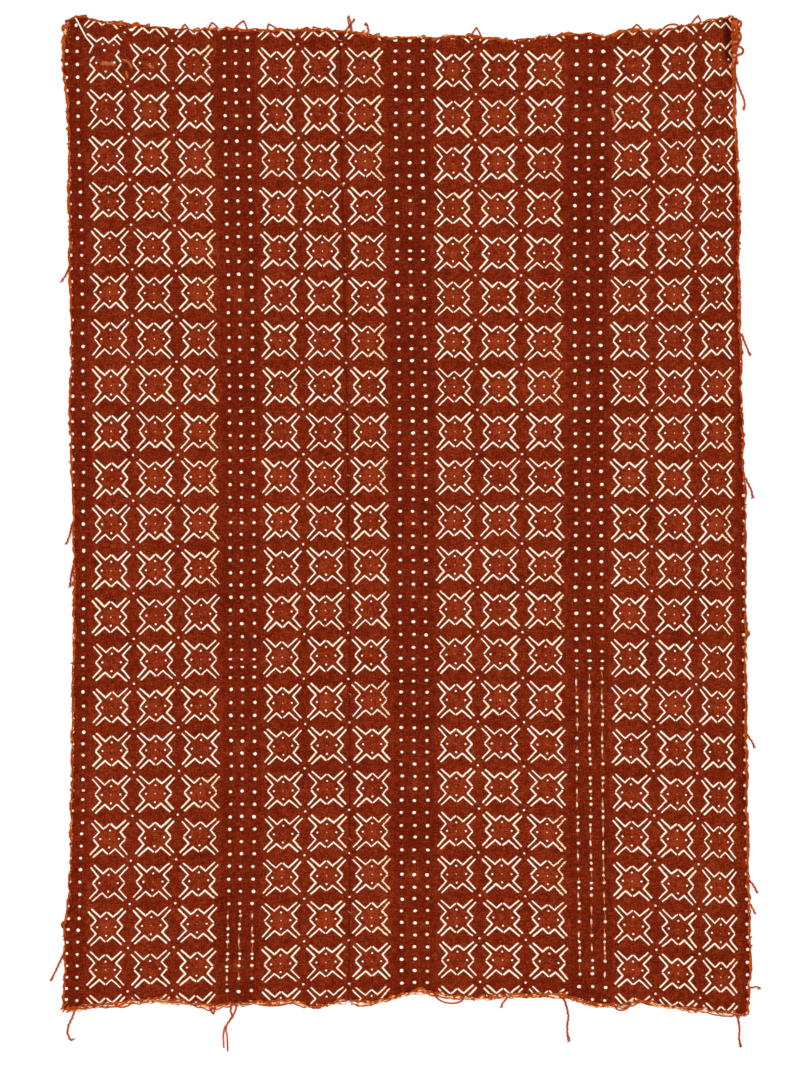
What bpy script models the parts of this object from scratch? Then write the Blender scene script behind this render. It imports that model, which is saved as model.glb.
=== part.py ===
"""Bogolan mud cloth, laid out flat: two hand-woven panels sewn edge to edge, with rolled raw
ends, frayed selvedges that are rolled up at the top corners, and loose yarn.

The cloth lies in the XY plane with its top end towards +Y. The tables are in millimetres,
measured from the middle of the picture that the cloth is seen in, and the finished cloth is
moved so that the middle of its box stands over the origin.
"""

import math
import random
from collections import namedtuple

import bmesh
import bpy
import numpy
from mathutils import Vector

MM = 0.001

# Cloth
THICKNESS = 1.6
GAP = 0.3
ROLL_WIDTH = 3.2
ROLL_HEIGHT = 2.8
ROLL_SIDES = 6

# Grid of the panels
ROWS = 28
END_CROWDING = 0.72
LEFT_COLUMNS = 15
RIGHT_COLUMNS = 21
COLUMN_CROWDING = 1.35
PLAN_PASSES = 4

# Yarn
YARN_WIDTH = 1.9
YARN_HEIGHT = 1.6
THREAD_STEPS = 7
LOOP_STEPS = 5
YARN_SPACE = 3.0
ROOT_LIFT = 0.3
WELD = 1e-6

# Outline of the whole cloth down its height, with the seam between the panels
Section = namedtuple("Section", "height left seam right")
SECTIONS = [
    Section(790, -510, -91, 515),
    Section(745, -513, -91, 516),
    Section(718, -513, -90, 511),
    Section(690, -511, -90, 508),
    Section(659, -507, -90, 509),
    Section(607, -504, -89, 511),
    Section(507, -504, -87, 516),
    Section(413, -502, -84, 515),
    Section(294, -500, -82, 518),
    Section(179, -503, -80, 520),
    Section(51, -497, -78, 525),
    Section(-132, -496, -76, 526),
    Section(-340, -499, -76, 527),
    Section(-527, -502, -76, 530),
    Section(-600, -510, -77, 532),
    Section(-650, -510, -77, 533),
    Section(-735, -513, -78, 530),
]

# Height of the top and bottom ends across the cloth
Station = namedtuple("Station", "across height")
TOP_END = [
    Station(-513, 775),
    Station(-492, 788),
    Station(-474, 782),
    Station(-412, 774),
    Station(-350, 768),
    Station(-311, 765),
    Station(-268, 768),
    Station(-187, 764),
    Station(-123, 768),
    Station(-84, 764),
    Station(-30, 755),
    Station(55, 754),
    Station(94, 758),
    Station(152, 750),
    Station(198, 753),
    Station(284, 761),
    Station(313, 754),
    Station(344, 765),
    Station(391, 765),
    Station(441, 773),
    Station(477, 780),
    Station(499, 789),
    Station(512, 782),
]
BOTTOM_END = [
    Station(-514, -726),
    Station(-447, -718),
    Station(-395, -712),
    Station(-337, -712),
    Station(-287, -722),
    Station(-222, -714),
    Station(-164, -714),
    Station(-122, -723),
    Station(-94, -711),
    Station(-43, -717),
    Station(2, -702),
    Station(33, -696),
    Station(52, -702),
    Station(114, -708),
    Station(187, -703),
    Station(245, -704),
    Station(286, -716),
    Station(333, -720),
    Station(368, -713),
    Station(412, -721),
    Station(468, -727),
    Station(533, -735),
]

# Selvedges rolled up on themselves: a thick flat roll below each top corner, thin elsewhere
Roll = namedtuple("Roll", "height width thickness")
LEFT_ROLL = [
    Roll(785, 11.0, 4.6),
    Roll(752, 7.0, 4.2),
    Roll(724, ROLL_WIDTH, ROLL_HEIGHT),
]
RIGHT_ROLL = [
    Roll(790, 13.5, 5.2),
    Roll(735, 10.5, 5.0),
    Roll(700, 6.0, 4.0),
    Roll(664, ROLL_WIDTH, ROLL_HEIGHT),
]

# Soft ridges where the cloth stands off the floor
Fold = namedtuple("Fold", "x1 y1 x2 y2 reach rise")
FOLDS = [
    Fold(-490, 786, -462, 737, 16, 5.5),
    Fold(-462, 733, -395, 717, 22, 4.5),
    Fold(-395, 717, -310, 722, 26, 3.0),
    Fold(-340, 768, -290, 735, 30, 2.6),
    Fold(-235, 766, -205, 720, 34, 2.2),
    Fold(70, 756, 110, 700, 36, 2.4),
    Fold(300, 757, 262, 690, 34, 2.6),
    Fold(452, 775, 400, 660, 30, 3.0),
    Fold(486, 770, 478, 640, 26, 2.8),
    Fold(-420, 480, -395, 250, 40, 2.0),
    Fold(255, 250, 330, 120, 48, 2.4),
    Fold(215, -330, 300, -420, 48, 2.2),
    Fold(-290, -560, -250, -714, 40, 2.4),
    Fold(320, -610, 345, -716, 40, 2.6),
    Fold(-495, -560, -470, -715, 34, 2.4),
]

# Loose yarns that lie on the floor, from the edge they come out of to their tip
Thread = namedtuple("Thread", "edge root middle tip")
THREADS = [
    Thread("top_right", (-83, 763), (-81, 780), (-78, 789)),
    Thread("top_right", (-70, 761), (-70, 772), (-64, 781)),
    Thread("top_right", (-47, 757), (-45, 765), (-52, 772)),
    Thread("left", (-502, 407), (-508, 393), (-515, 383)),
    Thread("left", (-498, 16), (-502, -2), (-508, -17)),
    Thread("left", (-497, -49), (-500, -64), (-502, -81)),
    Thread("left", (-510, -636), (-520, -657), (-531, -680)),
    Thread("bottom_left", (-493, -723), (-505, -746), (-498, -772)),
    Thread("bottom_left", (-254, -716), (-266, -748), (-268, -784)),
    Thread("bottom_left", (-250, -716), (-257, -750), (-261, -788)),
    Thread("bottom_right", (155, -705), (153, -713), (156, -722)),
    Thread("bottom_right", (247, -704), (256, -738), (257, -772)),
    Thread("bottom_right", (508, -732), (516, -754), (519, -782)),
    Thread("right", (513, 696), (519, 672), (526, 650)),
    Thread("right", (519, 304), (525, 288), (532, 271)),
    Thread("right", (525, 84), (534, 66), (536, 54)),
    Thread("right", (526, -303), (536, -318), (539, -326)),
    Thread("right", (531, -527), (538, -536), (543, -546)),
    Thread("right", (532, -563), (537, -572), (540, -578)),
]

# Loops of yarn that stand out of an edge: where along it, how far out and how wide
Loop = namedtuple("Loop", "edge along reach width")
LOOPS = [
    Loop("top_left", -327, 9, 9),
    Loop("top_left", -283, 9, 10),
    Loop("top_left", -238, 11, 11),
    Loop("top_left", -200, 10, 8),
    Loop("top_right", 116, 14, 17),
    Loop("top_right", 360, 9, 18),
    Loop("top_right", 452, 15, 8),
    Loop("right", 716, 13, 16),
    Loop("right", 745, 11, 13),
    Loop("right", 764, 9, 12),
    Loop("left", 772, 7, 13),
    Loop("left", 752, 6, 11),
    Loop("left", -595, 7, 12),
    Loop("right", -152, 6, 9),
    Loop("right", -690, 15, 8),
    Loop("bottom_left", -419, 5, 15),
    Loop("bottom_right", 77, 10, 42),
    Loop("bottom_right", 340, 6, 12),
]

# Small loops of the frayed yarn between the larger ones
Fray = namedtuple("Fray", "edge start end count")
FRAYS = [
    Fray("top_left", -470, -100, 7),
    Fray("top_right", -20, 480, 9),
    Fray("bottom_left", -480, -100, 6),
    Fray("bottom_right", -60, 510, 8),
    Fray("left", 640, -700, 8),
    Fray("right", 640, -700, 8),
]
FRAY_REACH = (3.6, 5.4)
FRAY_WIDTH = (6.0, 11.0)
FRAY_SEED = 11

Finish = namedtuple("Finish", "colour roughness")
CLOTH_FINISH = Finish((0.235, 0.024, 0.008, 1.0), 0.95)
YARN_FINISH = Finish((0.47, 0.085, 0.018, 1.0), 0.95)


def clear_scene():
    """Take every object out of the scene."""
    for thing in list(bpy.data.objects):
        bpy.data.objects.remove(thing, do_unlink=True)


def new_collection(name, hidden=False):
    """A collection in the scene, for the parts or for their helpers."""
    group = bpy.data.collections.new(name)
    group.hide_render = hidden
    bpy.context.scene.collection.children.link(group)
    return group


def finish_material(name, finish):
    """A plain woven finish with one colour."""
    material = bpy.data.materials.new(name)
    material.use_nodes = True
    shader = material.node_tree.nodes["Principled BSDF"]
    shader.inputs["Base Color"].default_value = finish.colour
    shader.inputs["Roughness"].default_value = finish.roughness
    shader.inputs["Metallic"].default_value = 0.0
    return material


def side_at(column, y):
    """Distance across of an edge or of the seam at height y."""
    heights = [-row.height for row in SECTIONS]
    return float(numpy.interp(-y, heights, [getattr(row, column) for row in SECTIONS]))


def end_at(table, x):
    """Height of the top or bottom end at distance x across."""
    return float(numpy.interp(x, [row.across for row in table], [row.height for row in table]))


def rise_at(x, y):
    """How far the underside stands off the floor."""
    total = 0.0
    for fold in FOLDS:
        start = Vector((fold.x1, fold.y1))
        run = Vector((fold.x2, fold.y2)) - start
        away = Vector((x, y)) - start
        share = min(1.0, max(0.0, away.dot(run) / run.length_squared))
        distance = (away - run * share).length
        if distance < fold.reach:
            total += fold.rise * 0.5 * (1.0 + math.cos(math.pi * distance / fold.reach))
    return total


def roll_size(table, y):
    """Width and thickness of a rolled selvedge at height y."""
    heights = [-row.height for row in table]
    width = numpy.interp(-y, heights, [row.width for row in table])
    thickness = numpy.interp(-y, heights, [row.thickness for row in table])
    return float(width), float(thickness)


class Panel:
    """One woven panel, from its selvedge, at share 0 across, to the seam, at share 1."""

    def __init__(self, outer, roll, columns):
        self.outer = outer
        self.roll = roll
        self.columns = columns
        self.sign = -1.0 if outer == "left" else 1.0

    def plan(self, across, down):
        """Place in plan. The woven edges lie inside the rolled ends and selvedge."""
        margin = ROLL_WIDTH + GAP
        x, y = 0.0, 0.0
        for _ in range(PLAN_PASSES):
            selvedge = side_at(self.outer, y) - self.sign * (roll_size(self.roll, y)[0] + GAP)
            seam = side_at("seam", y) + self.sign * 0.5 * GAP
            x = selvedge + (seam - selvedge) * across
            top = end_at(TOP_END, x) - margin
            bottom = end_at(BOTTOM_END, x) + margin
            y = top + (bottom - top) * down
        return x, y

    def column_shares(self):
        """Columns from the selvedge to the seam, closer together towards the selvedge."""
        return [(i / self.columns) ** COLUMN_CROWDING for i in range(self.columns + 1)]


def row_shares():
    """Rows from the top to the bottom, closer together towards both ends."""
    shares = [i / ROWS for i in range(ROWS + 1)]
    return [t - END_CROWDING * math.sin(2.0 * math.pi * t) / (2.0 * math.pi) for t in shares]


def build_panel(name, panel, material, group):
    """The woven sheet: a grid laid along the folds of its underside and thickened upwards."""
    columns = panel.column_shares()
    rows = row_shares()
    grid = bmesh.new()
    bmesh.ops.create_grid(grid, x_segments=len(columns) - 1, y_segments=len(rows) - 1, size=1.0)
    across = len(columns) - 1
    down = len(rows) - 1
    for vertex in grid.verts:
        i = round((vertex.co.x + 1.0) / 2.0 * across)
        j = round((1.0 - vertex.co.y) / 2.0 * down)
        column = columns[i] if panel.outer == "left" else columns[across - i]
        x, y = panel.plan(column, rows[j])
        vertex.co = Vector((x, y, rise_at(x, y))) * MM
    bmesh.ops.recalc_face_normals(grid, faces=grid.faces)
    if sum(face.normal.z for face in grid.faces) < 0.0:
        bmesh.ops.reverse_faces(grid, faces=grid.faces)
    mesh = bpy.data.meshes.new(name)
    grid.to_mesh(mesh)
    grid.free()
    mesh.materials.append(material)
    sheet = bpy.data.objects.new(name, mesh)
    group.objects.link(sheet)
    shell = sheet.modifiers.new("thickness", "SOLIDIFY")
    shell.thickness = THICKNESS * MM
    shell.offset = 1.0
    shell.use_even_offset = True
    return sheet


def profile_curve(name, corners, group):
    """A closed flat outline that yarn or a rolled edge is swept with."""
    curve = bpy.data.curves.new(name, "CURVE")
    curve.dimensions = "2D"
    spline = curve.splines.new("POLY")
    spline.points.add(len(corners) - 1)
    for point, (x, y) in zip(spline.points, corners):
        point.co = (x * MM, y * MM, 0.0, 1.0)
    spline.use_cyclic_u = True
    outline = bpy.data.objects.new(name, curve)
    outline.hide_render = True
    outline.display_type = "WIRE"
    group.objects.link(outline)
    return outline


def swept_solid(name, path, profile, material, group):
    """A closed solid swept along a path of points in millimetres."""
    curve = bpy.data.curves.new(name, "CURVE")
    curve.dimensions = "3D"
    curve.twist_mode = "Z_UP"
    curve.bevel_mode = "OBJECT"
    curve.bevel_object = profile
    curve.use_fill_caps = True
    spline = curve.splines.new("POLY")
    spline.points.add(len(path) - 1)
    for point, place in zip(spline.points, path):
        point.co = (*(place * MM), 1.0)
    guide = bpy.data.objects.new(name, curve)
    group.objects.link(guide)
    depsgraph = bpy.context.evaluated_depsgraph_get()
    mesh = bpy.data.meshes.new_from_object(guide.evaluated_get(depsgraph), depsgraph=depsgraph)
    bpy.data.objects.remove(guide, do_unlink=True)
    welded = bmesh.new()
    welded.from_mesh(mesh)
    bmesh.ops.remove_doubles(welded, verts=welded.verts, dist=WELD)
    bmesh.ops.recalc_face_normals(welded, faces=welded.faces)
    welded.to_mesh(mesh)
    welded.free()
    mesh.name = name
    mesh.materials.clear()
    mesh.materials.append(material)
    solid = bpy.data.objects.new(name, mesh)
    group.objects.link(solid)
    return solid


def rolled_edge(name, sections, material, group):
    """A closed roll drawn through sections: each a place on its lower middle line, the level
    direction across the edge, a width and a thickness."""
    roll = bmesh.new()
    ring = bmesh.ops.create_circle(roll, segments=ROLL_SIDES, radius=1.0)["verts"]
    edges = roll.edges[:]
    for number, section in enumerate(sections):
        if number:
            made = bmesh.ops.extrude_edge_only(roll, edges=edges)["geom"]
            fresh = {tuple(v.co): v for v in made if isinstance(v, bmesh.types.BMVert)}
            ring = [fresh[tuple(v.co)] for v in ring]
            edges = [e for e in made if isinstance(e, bmesh.types.BMEdge)
                     and e.verts[0] in ring and e.verts[1] in ring]
        for i, vertex in enumerate(ring):
            angle = 2.0 * math.pi * i / ROLL_SIDES
            out = 0.5 * section.width * math.cos(angle)
            up = 0.5 * section.thickness * (1.0 + math.sin(angle) / math.sin(math.pi / 3.0))
            vertex.co = (section.place + section.outward * out + Vector((0.0, 0.0, up))) * MM
    bmesh.ops.holes_fill(roll, edges=roll.edges, sides=ROLL_SIDES)
    bmesh.ops.recalc_face_normals(roll, faces=roll.faces)
    mesh = bpy.data.meshes.new(name)
    roll.to_mesh(mesh)
    roll.free()
    mesh.materials.append(material)
    body = bpy.data.objects.new(name, mesh)
    group.objects.link(body)
    return body


def yarn_profile(group):
    """Section of a yarn: three sides, flat on the floor."""
    half = 0.5 * YARN_WIDTH
    return profile_curve("yarn_section", [(-half, 0.0), (half, 0.0), (0.0, YARN_HEIGHT)], group)


EdgeSection = namedtuple("EdgeSection", "place outward width thickness")


def edge_sections(edge, panel):
    """Sections of the roll along one edge of a panel, each a gap outside the woven edge."""
    sections = []
    if edge in ("left", "right"):
        for down in row_shares():
            x, y = panel.plan(0.0, down)
            width, thickness = roll_size(panel.roll, y)
            outward = Vector((panel.sign, 0.0, 0.0))
            place = Vector((x, y, rise_at(x, y))) + outward * (GAP + 0.5 * width)
            sections.append(EdgeSection(place, outward, width, thickness))
        return sections
    down, outward = (0.0, Vector((0, 1, 0))) if "top" in edge else (1.0, Vector((0, -1, 0)))
    for across in panel.column_shares():
        x, y = panel.plan(across, down)
        place = Vector((x, y, rise_at(x, y))) + outward * (GAP + 0.5 * ROLL_WIDTH)
        sections.append(EdgeSection(place, outward, ROLL_WIDTH, ROLL_HEIGHT))
    return sections


def smooth_path(points, steps):
    """A quadratic curve through three places."""
    start, middle, end = points
    control = middle * 2.0 - (start + end) * 0.5
    path = []
    for i in range(steps + 1):
        t = i / steps
        path.append(start * (1.0 - t) ** 2 + control * 2.0 * t * (1.0 - t) + end * t * t)
    return path


def rooted(path, place):
    """The place of the rolled edge's middle line that lies closest to a point in plan."""
    best, best_away = path[0], math.inf
    for a, b in zip(path, path[1:]):
        run = (b - a).xy
        share = min(1.0, max(0.0, (place.xy - a.xy).dot(run) / max(run.length_squared, WELD)))
        spot = a.lerp(b, share)
        away = (spot.xy - place.xy).length
        if away < best_away:
            best, best_away = spot, away
    return best.copy()


def thread_path(thread, roll):
    """A loose yarn: from inside the rolled edge down to the floor and out to its tip."""
    places = [Vector((*p, 0.0)) for p in (thread.root, thread.middle, thread.tip)]
    root = rooted(roll, places[0])
    places[0] = Vector((root.x, root.y, 0.0))
    path = smooth_path(places, THREAD_STEPS)
    height = root.z
    for i, place in enumerate(path):
        place.z = height * (1.0 - i / THREAD_STEPS) ** 2
    path[0].z += ROOT_LIFT
    return path


def loop_path(loop, roll, roll_width):
    """A loop of yarn: out of the rolled edge, round, and back into it."""
    upright = loop.edge in ("left", "right")
    ends = []
    for shift in (-0.5, 0.5):
        along = loop.along + shift * loop.width
        near = min(roll, key=lambda p: abs((p.y if upright else p.x) - along))
        guess = Vector((near.x, along, 0.0)) if upright else Vector((along, near.y, 0.0))
        ends.append(rooted(roll, guess))
    outward = {"left": (-1, 0), "right": (1, 0)}.get(loop.edge)
    outward = outward or ((0, 1) if "top" in loop.edge else (0, -1))
    out = Vector((*outward, 0.0)) * (loop.reach + 0.5 * roll_width)
    path = []
    for i in range(LOOP_STEPS + 1):
        angle = math.pi * i / LOOP_STEPS
        share = 0.5 * (1.0 - math.cos(angle))
        place = ends[0].lerp(ends[1], share) + out * math.sin(angle)
        place.z *= 1.0 - math.sin(angle)
        path.append(place)
    path[0].z += ROOT_LIFT
    path[-1].z += ROOT_LIFT
    return path


def along_edge(edge, place):
    """Position along an edge: height on the side edges, distance across on the ends."""
    return place[1] if edge in ("left", "right") else place[0]


def is_free(edge, along, width, loops):
    """Whether a loop has room between the loops and loose yarns of its edge."""
    others = [(x.along, x.width) for x in loops if x.edge == edge]
    others += [(along_edge(edge, x.root), YARN_WIDTH) for x in THREADS if x.edge == edge]
    return all(abs(x - along) > 0.5 * (w + width) + YARN_SPACE for x, w in others)


def frayed_loops():
    """The loops of the table, and small ones at uneven places between them."""
    chance = random.Random(FRAY_SEED)
    loops = list(LOOPS)
    for fray in FRAYS:
        step = (fray.end - fray.start) / fray.count
        for i in range(fray.count):
            along = fray.start + step * (i + chance.uniform(0.25, 0.75))
            reach = chance.uniform(*FRAY_REACH)
            width = chance.uniform(*FRAY_WIDTH)
            if is_free(fray.edge, along, width, loops):
                loops.append(Loop(fray.edge, along, reach, width))
    return loops


def build_edge(edge, panel, yarn_section, material, parts, strands):
    """One rolled edge with its loops and loose yarns fused into it."""
    sections = edge_sections(edge, panel)
    name = f"selvedge_{edge}" if edge in ("left", "right") else f"rolled_end_{edge}"
    body = rolled_edge(name, sections, material, parts)
    own = bpy.data.collections.new(f"yarns_{edge}")
    strands.children.link(own)
    middle = [section.place for section in sections]
    paths = [thread_path(thread, middle) for thread in THREADS if thread.edge == edge]
    for loop in frayed_loops():
        if loop.edge == edge:
            near = min(sections, key=lambda s: abs(along_edge(edge, s.place) - loop.along))
            paths.append(loop_path(loop, middle, near.width))
    for i, path in enumerate(paths):
        yarn = swept_solid(f"yarn_{edge}_{i + 1}", path, yarn_section, material, own)
        yarn.hide_render = True
        yarn.display_type = "WIRE"
    fuse = body.modifiers.new("fused yarns", "BOOLEAN")
    fuse.operation = "UNION"
    fuse.operand_type = "COLLECTION"
    fuse.collection = own
    fuse.solver = "EXACT"
    return body


def stand_on_origin(things):
    """Move everything so that the middle of the parts' box stands over the origin."""
    bpy.context.view_layer.update()
    depsgraph = bpy.context.evaluated_depsgraph_get()
    corners = []
    for thing in things:
        solid = thing.evaluated_get(depsgraph)
        corners += [solid.matrix_world @ Vector(corner) for corner in solid.bound_box]
    low = Vector([min(c[k] for c in corners) for k in range(3)])
    high = Vector([max(c[k] for c in corners) for k in range(3)])
    middle = (low + high) * 0.5
    shift = Vector((-middle.x, -middle.y, -low.z))
    for mesh in {thing.data for thing in bpy.data.objects if thing.type == "MESH"}:
        for vertex in mesh.vertices:
            vertex.co += shift
    return shift, high - low


def main():
    clear_scene()
    parts = new_collection("bogolan_mud_cloth")
    strands = new_collection("yarn_helpers", hidden=True)
    cloth = finish_material("mud_dyed_cotton", CLOTH_FINISH)
    yarn = finish_material("loose_cotton_yarn", YARN_FINISH)
    left = Panel("left", LEFT_ROLL, LEFT_COLUMNS)
    right = Panel("right", RIGHT_ROLL, RIGHT_COLUMNS)
    yarn_section = yarn_profile(strands)
    things = [
        build_panel("panel_left", left, cloth, parts),
        build_panel("panel_right", right, cloth, parts),
    ]
    for panel in (left, right):
        for edge in (f"top_{panel.outer}", f"bottom_{panel.outer}", panel.outer):
            things.append(build_edge(edge, panel, yarn_section, yarn, parts, strands))
    shift, size = stand_on_origin(things)
    print("shift in mm", [round(v / MM, 2) for v in shift])
    print("size in mm", [round(v / MM, 1) for v in size])


main()
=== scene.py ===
# %% [markdown]
# # A bogolan mud cloth on a studio floor
# Bogolan is cotton cloth, woven by hand, dyed and painted with fermented mud, with its figures
# left or bleached cream. This lesson dresses a plain model of such a cloth: the frame gives the
# size and place of every piece, and each cell below makes one piece or one finish.

# %% Load the plain model
import math
import random
from collections import namedtuple

import bmesh
import bpy
import numpy as np
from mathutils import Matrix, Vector


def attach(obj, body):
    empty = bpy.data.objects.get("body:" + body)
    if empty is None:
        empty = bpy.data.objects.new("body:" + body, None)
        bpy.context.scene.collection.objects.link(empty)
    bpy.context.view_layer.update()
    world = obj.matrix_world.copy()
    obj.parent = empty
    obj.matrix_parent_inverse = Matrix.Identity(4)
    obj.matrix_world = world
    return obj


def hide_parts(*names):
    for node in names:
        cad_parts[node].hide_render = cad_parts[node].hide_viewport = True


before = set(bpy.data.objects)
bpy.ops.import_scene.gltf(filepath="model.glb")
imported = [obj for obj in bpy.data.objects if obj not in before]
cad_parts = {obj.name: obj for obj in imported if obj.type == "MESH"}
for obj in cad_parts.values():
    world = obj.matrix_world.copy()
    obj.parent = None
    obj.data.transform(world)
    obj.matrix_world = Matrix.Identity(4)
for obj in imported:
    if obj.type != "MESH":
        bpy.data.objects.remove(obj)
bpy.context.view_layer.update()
MM = 0.001
print("nodes:", ", ".join(sorted(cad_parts)))

# %% [markdown]
# ## The sizes
# A cloth is measured like a map. The tables give its outline and the height of its folds in
# millimetres, from the middle of the picture that it is seen in. They are the plain model's own
# values, so whatever is built on them lies exactly where the plain sheets lie.

# %% Outline and folds
PICTURE_HEIGHT = 1622.0
PICTURE_MIDDLE = Vector((-7.37, -1.17, 0.0))
THICKNESS = 1.6
GAP = 0.3
SEAM_GAP = 0.02
ROLL_WIDTH = 3.2
SIDES = {"left": -1.0, "right": 1.0}

Section = namedtuple("Section", "height left seam right")
SECTIONS = [Section(*row) for row in (
    (790, -510, -91, 515), (745, -513, -91, 516), (718, -513, -90, 511), (690, -511, -90, 508),
    (659, -507, -90, 509), (607, -504, -89, 511), (507, -504, -87, 516), (413, -502, -84, 515),
    (294, -500, -82, 518), (179, -503, -80, 520), (51, -497, -78, 525), (-132, -496, -76, 526),
    (-340, -499, -76, 527), (-527, -502, -76, 530), (-600, -510, -77, 532), (-650, -510, -77, 533),
    (-735, -513, -78, 530),
)]
TOP_END = [
    (-513, 775), (-492, 788), (-474, 782), (-412, 774), (-350, 768), (-311, 765), (-268, 768),
    (-187, 764), (-123, 768), (-84, 764), (-30, 755), (55, 754), (94, 758), (152, 750),
    (198, 753), (284, 761), (313, 754), (344, 765), (391, 765), (441, 773), (477, 780),
    (499, 789), (512, 782),
]
BOTTOM_END = [
    (-514, -726), (-447, -718), (-395, -712), (-337, -712), (-287, -722), (-222, -714),
    (-164, -714), (-122, -723), (-94, -711), (-43, -717), (2, -702), (33, -696), (52, -702),
    (114, -708), (187, -703), (245, -704), (286, -716), (333, -720), (368, -713), (412, -721),
    (468, -727), (533, -735),
]
Roll = namedtuple("Roll", "height width thickness")
ROLLS = {
    "left": [Roll(785, 11.0, 4.6), Roll(752, 7.0, 4.2), Roll(724, 3.2, 2.8)],
    "right": [Roll(790, 13.5, 5.2), Roll(735, 10.5, 5.0), Roll(700, 6.0, 4.0), Roll(664, 3.2, 2.8)],
}
Fold = namedtuple("Fold", "x1 y1 x2 y2 reach rise")
FOLDS = [Fold(*row) for row in (
    (-490, 786, -462, 737, 16, 5.5), (-462, 733, -395, 717, 22, 4.5),
    (-395, 717, -310, 722, 26, 3.0), (-340, 768, -290, 735, 30, 2.6),
    (-235, 766, -205, 720, 34, 2.2), (70, 756, 110, 700, 36, 2.4), (300, 757, 262, 690, 34, 2.6),
    (452, 775, 400, 660, 30, 3.0), (486, 770, 478, 640, 26, 2.8), (-420, 480, -395, 250, 40, 2.0),
    (255, 250, 330, 120, 48, 2.4), (215, -330, 300, -420, 48, 2.2),
    (-290, -560, -250, -714, 40, 2.4), (320, -610, 345, -716, 40, 2.6),
    (-495, -560, -470, -715, 34, 2.4),
)]
print(len(SECTIONS), "sections,", len(FOLDS), "folds")


# %% [markdown]
# ## Reading the tables
# The same questions are asked for tens of thousands of points, so each answer is worked out for
# a whole array at once. The corners of the tables are eased over a few centimetres, because yarn
# does not turn sharply.

# %% Outline and height as functions
EASE = 12.0
EASE_STEPS = 7


def eased(where, keys, values):
    """A table read between its rows, with its corners rounded."""
    steps = np.linspace(-EASE, EASE, EASE_STEPS)
    weights = 1.0 + np.cos(np.pi * steps / (EASE * 1.2))
    reads = [w * np.interp(where + s, keys, values) for s, w in zip(steps, weights)]
    return sum(reads) / weights.sum()


def side_at(column, y):
    """Distance across of a selvedge or of the seam at height y."""
    heights = [-row.height for row in SECTIONS]
    return eased(-y, heights, [getattr(row, column) for row in SECTIONS])


def end_at(table, x):
    """Height of the top or bottom end at distance x across."""
    return eased(x, [row[0] for row in table], [row[1] for row in table])


def roll_at(outer, y, measure):
    """Width or thickness of a rolled selvedge at height y."""
    heights = [-row.height for row in ROLLS[outer]]
    return np.interp(-y, heights, [getattr(row, measure) for row in ROLLS[outer]])


def folds_at(x, y, folds=FOLDS):
    """How far folds lift the underside off the floor: each is a soft ridge along a line."""
    total = np.zeros_like(x)
    for fold in folds:
        run_x, run_y = fold.x2 - fold.x1, fold.y2 - fold.y1
        share = ((x - fold.x1) * run_x + (y - fold.y1) * run_y) / (run_x**2 + run_y**2)
        share = np.clip(share, 0.0, 1.0)
        away = np.hypot(x - fold.x1 - share * run_x, y - fold.y1 - share * run_y)
        ridge = 0.5 + 0.5 * np.cos(np.pi * away / fold.reach)
        total += np.where(away < fold.reach, ridge, 0.0) * fold.rise
    return total


Drift = namedtuple("Drift", "seed size inward")
DRIFTS = {
    "left": Drift(1.0, 1.3, 0.0), "right": Drift(2.0, 1.3, 0.0),
    "top": Drift(3.0, 1.6, 0.0), "bottom": Drift(4.0, 1.8, 2.3),
}
DRIFT_WAVES = [(0.061, 2.1, 0.5), (0.173, 4.7, 0.4), (0.41, 1.0, 0.35), (0.77, 3.3, 0.2)]
DRIFT_FADE = 25.0
PLAN_ROUNDS = 4


def wander(edge, t):
    """A small outward drift of an edge, which makes it ragged."""
    drift = DRIFTS[edge]
    waves = (share * np.sin(t * rate + drift.seed * start) for rate, start, share in DRIFT_WAVES)
    return drift.size * sum(waves) - drift.inward


def plan(outer, across, down):
    """Place in plan of a panel's point, from selvedge to seam and from top to bottom.

    The sides depend on the height and the ends on the width, so a few rounds settle both.
    """
    sign = SIDES[outer]
    x, y = np.zeros_like(across), np.zeros_like(across)
    for _ in range(PLAN_ROUNDS):
        selvedge = side_at(outer, y) - sign * (roll_at(outer, y, "width") + GAP)
        seam = side_at("seam", y) + sign * 0.5 * SEAM_GAP
        x = selvedge + (seam - selvedge) * across
        top = end_at(TOP_END, x) - ROLL_WIDTH - GAP
        bottom = end_at(BOTTOM_END, x) + ROLL_WIDTH + GAP
        y = top + (bottom - top) * down
    return x, y


def place(x, y, z):
    """From the tables' millimetres to the frame's metres."""
    return (Vector((x, y, z)) + PICTURE_MIDDLE) * MM


print("width at mid height:", round(float(side_at("right", 0.0) - side_at("left", 0.0))), "mm")


# %% [markdown]
# ## Where the figures stand
# The painter drew stars in four groups of three columns, with bands of dots between them. Nothing
# is quite straight: the columns drift sideways and the rows bow downwards at the sides as the
# cloth goes down. Two sheets of coordinates hold this, one that has a star in every unit square
# and one that has a dot in every unit square. LIFT moves part of the first star, which a fold at
# the corner has pushed up. The painting itself is done later, in the shader.

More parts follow.
